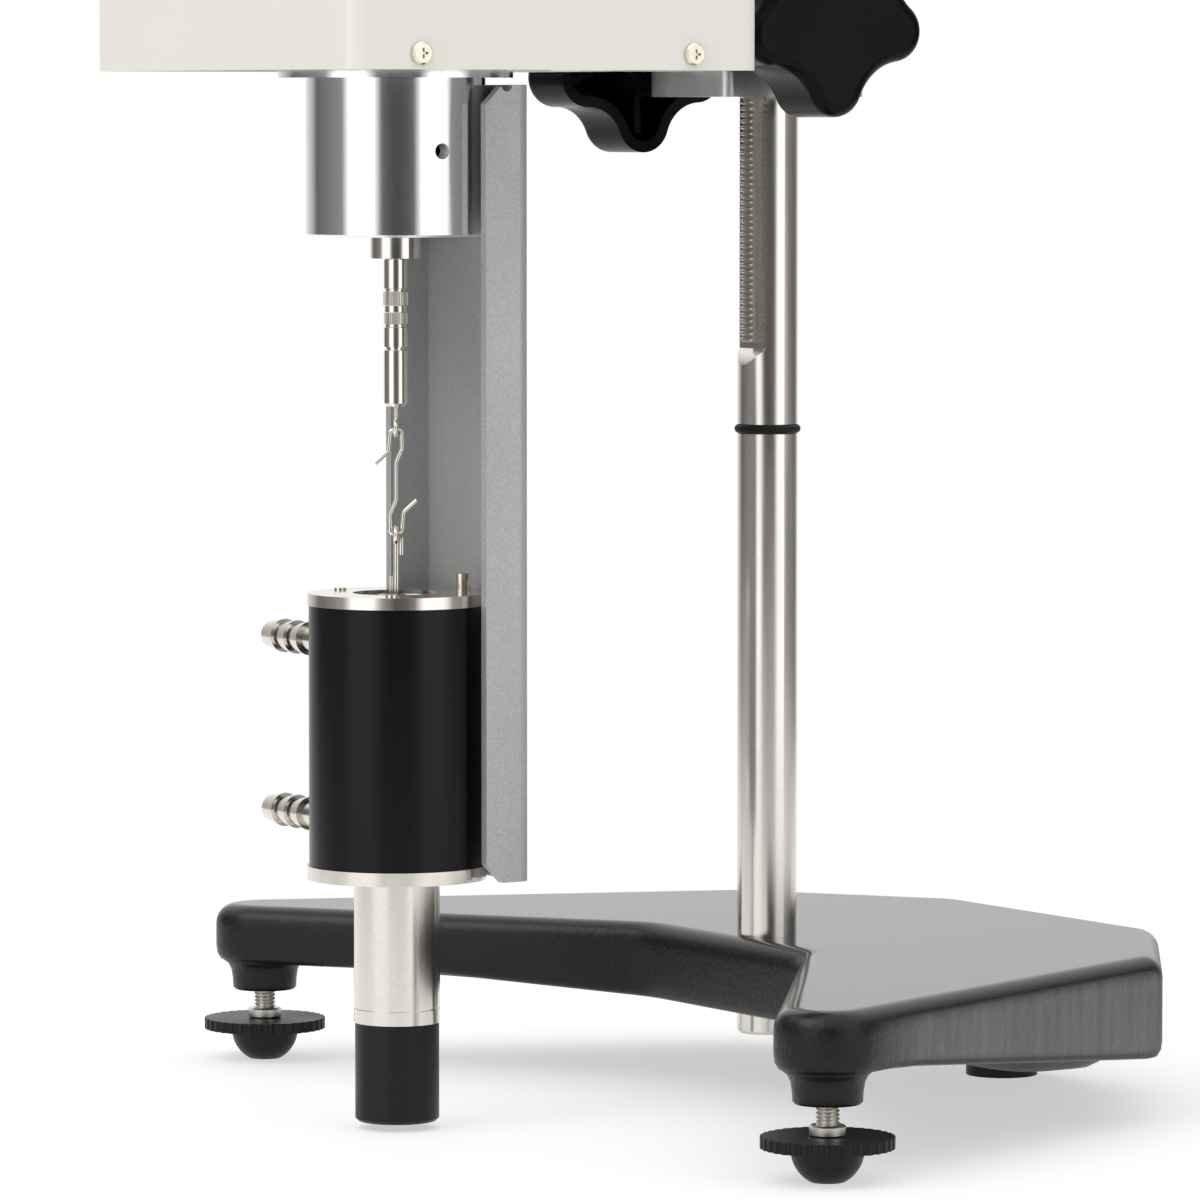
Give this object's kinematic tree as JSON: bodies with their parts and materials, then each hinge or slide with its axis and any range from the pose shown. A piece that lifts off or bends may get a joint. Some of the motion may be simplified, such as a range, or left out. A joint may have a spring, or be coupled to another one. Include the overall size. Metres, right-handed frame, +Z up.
{
  "type": "rotational viscometer",
  "caption": "Rotational viscometer on a rack stand, with a hanging spindle in a water-jacketed sample chamber.",
  "frame": {"origin": "on the floor under the middle of the post", "axes": "+Z up along the post, -Y the front with the display and the spindle, +X the height knob"},
  "size_m": [0.3116, 0.2655, 0.402],
  "materials": {
    "cast_black": "fine textured black paint",
    "foot_black": "moulded black",
    "wheel_black": "moulded black",
    "stud_zinc": "zinc plated",
    "post_steel": "ground stainless steel",
    "ring_rubber": "black rubber",
    "rack_steel": "cut steel",
    "block_alu": "satin milled",
    "bush_brass": "turned brass",
    "steel_plain": "turned steel",
    "knob_black": "glossy moulded black",
    "alu_plain": "milled",
    "cover_cream": "satin cream paint",
    "screw_nickel": "nickel plated",
    "window_glass": "clear window",
    "display_green": "plain display",
    "board_green": "circuit board",
    "key_grey": "moulded grey",
    "level_green": "clear green",
    "inlet_black": "moulded black",
    "rocker_black": "moulded black",
    "nickel_steel": "turned stainless steel",
    "motor_grey": "grey",
    "spring_bronze": "spring bronze",
    "alu_polished": "polished, turned",
    "alu_raw": "raw sheet",
    "jacket_black": "satin black anodised",
    "cap_black": "black"
  },
  "bodies": {
    "base": {"base_casting": "cast_black", "rear_foot": "foot_black", "post": "post_steel", "stop_ring": "ring_rubber", "rack": "rack_steel"},
    "carriage": {"clamp_block": "block_alu", "post_bushes": "bush_brass", "head_rod": "steel_plain", "rod_mount": "alu_plain", "head_cover": "cover_cream", "cover_screws": "screw_nickel", "head_base_plate": "alu_plain", "display_window": "window_glass", "display_module": "display_green", "front_board": "board_green", "board_pillars": "screw_nickel", "bubble_level": "level_green", "power_inlet": "inlet_black", "switch_housing": "inlet_black", "pivot_housing": "nickel_steel", "shaft_bearings": "steel_plain", "frame_pillars": "screw_nickel", "motor_plate": "alu_plain", "drive_motor": "motor_grey", "disc_sensor": "inlet_black", "flange_plate": "alu_polished", "guard_cylinder": "alu_polished", "channel_bracket": "alu_raw", "bracket_screws": "screw_nickel", "jacket_upper_flange": "nickel_steel", "jacket_lower_flange": "nickel_steel", "jacket_shell": "jacket_black", "hose_barbs": "nickel_steel", "flange_screws": "screw_nickel"},
    "pinion": {"pinion_shaft": "steel_plain", "height_knob": "knob_black"},
    "clamp": {"clamp_knob": "knob_black", "clamp_screw": "steel_plain"},
    "rocker": {"power_switch": "rocker_black"},
    "key_1": {"key_1": "key_grey"},
    "key_2": {"key_2": "key_grey"},
    "key_3": {"key_3": "key_grey"},
    "key_4": {"key_4": "key_grey"},
    "rotor": {"motor_shaft": "steel_plain", "drive_hub": "bush_brass", "torsion_spring": "spring_bronze"},
    "spindle_drive": {"pivot_shaft": "steel_plain", "slotted_disc": "alu_plain", "coupling_nut": "nickel_steel", "coupling_sleeve": "nickel_steel", "link_wire": "nickel_steel", "spindle": "nickel_steel"},
    "chamber": {"sample_chamber": "nickel_steel", "chamber_cap": "cap_black"},
    "pad_left": {"foot_pad_left": "foot_black"},
    "wheel_left": {"foot_wheel_left": "wheel_black", "foot_stud_left": "stud_zinc"},
    "pad_right": {"foot_pad_right": "foot_black"},
    "wheel_right": {"foot_wheel_right": "wheel_black", "foot_stud_right": "stud_zinc"}
  },
  "joints": [
    {"name": "head_lift", "type": "slide", "parent": "base", "child": "carriage", "axis": [0, 0, 1], "range_m": [0, 0.08]},
    {"name": "pinion_turn", "type": "hinge", "parent": "carriage", "child": "pinion", "pos_m": [0, -0.0112, 0.2906], "axis": [1, 0, 0], "range_deg": [-1085, 0]},
    {"name": "clamp_turn", "type": "hinge", "parent": "carriage", "child": "clamp", "pos_m": [0, -0.0196, 0.2796], "axis": [1, 0, 0], "range_deg": [0, 180]},
    {"name": "rocker", "type": "hinge", "parent": "carriage", "child": "rocker", "pos_m": [-0.03, -0.0495, 0.35], "axis": [1, 0, 0], "range_deg": [0, 12]},
    {"name": "motor_spin", "type": "hinge", "parent": "carriage", "child": "rotor", "pos_m": [0, -0.116, 0.3], "axis": [0, 0, 1], "continuous": true},
    {"name": "spring_wind", "type": "hinge", "parent": "rotor", "child": "spindle_drive", "pos_m": [0, -0.116, 0.3], "axis": [0, 0, 1], "range_deg": [0, 80], "stiffness_Nm_per_rad": 0.0005},
    {"name": "chamber_twist", "type": "hinge", "parent": "carriage", "child": "chamber", "pos_m": [0, -0.116, 0.1], "axis": [0, 0, 1], "range_deg": [0, 45]},
    {"name": "key_1_press", "type": "slide", "parent": "carriage", "child": "key_1", "axis": [0, 0.9739, -0.2271], "range_m": [0, 0.0008], "stiffness_N_per_m": 400},
    {"name": "key_2_press", "type": "slide", "parent": "carriage", "child": "key_2", "axis": [0, 0.9739, -0.2271], "range_m": [0, 0.0008], "stiffness_N_per_m": 400},
    {"name": "key_3_press", "type": "slide", "parent": "carriage", "child": "key_3", "axis": [0, 0.9739, -0.2271], "range_m": [0, 0.0008], "stiffness_N_per_m": 400},
    {"name": "key_4_press", "type": "slide", "parent": "carriage", "child": "key_4", "axis": [0, 0.9739, -0.2271], "range_m": [0, 0.0008], "stiffness_N_per_m": 400},
    {"name": "foot_left_slide", "type": "slide", "parent": "base", "child": "pad_left", "axis": [0, 0, 1], "range_m": [-0.008, 0.004]},
    {"name": "foot_left_turn", "type": "hinge", "parent": "pad_left", "child": "wheel_left", "pos_m": [-0.139, -0.0755, 0.01], "axis": [0, 0, 1], "range_deg": [-2870, 1430]},
    {"name": "foot_right_slide", "type": "slide", "parent": "base", "child": "pad_right", "axis": [0, 0, 1], "range_m": [-0.008, 0.004]},
    {"name": "foot_right_turn", "type": "hinge", "parent": "pad_right", "child": "wheel_right", "pos_m": [0.139, -0.0755, 0.01], "axis": [0, 0, 1], "range_deg": [-2870, 1430]}
  ],
  "couplings": [
    {"joint": "pinion_turn", "follows": "head_lift", "rad_per_m": -236.21},
    {"joint": "foot_left_slide", "follows": "foot_left_turn", "m_per_rad": 0.00015915},
    {"joint": "foot_right_slide", "follows": "foot_right_turn", "m_per_rad": 0.00015915}
  ]
}
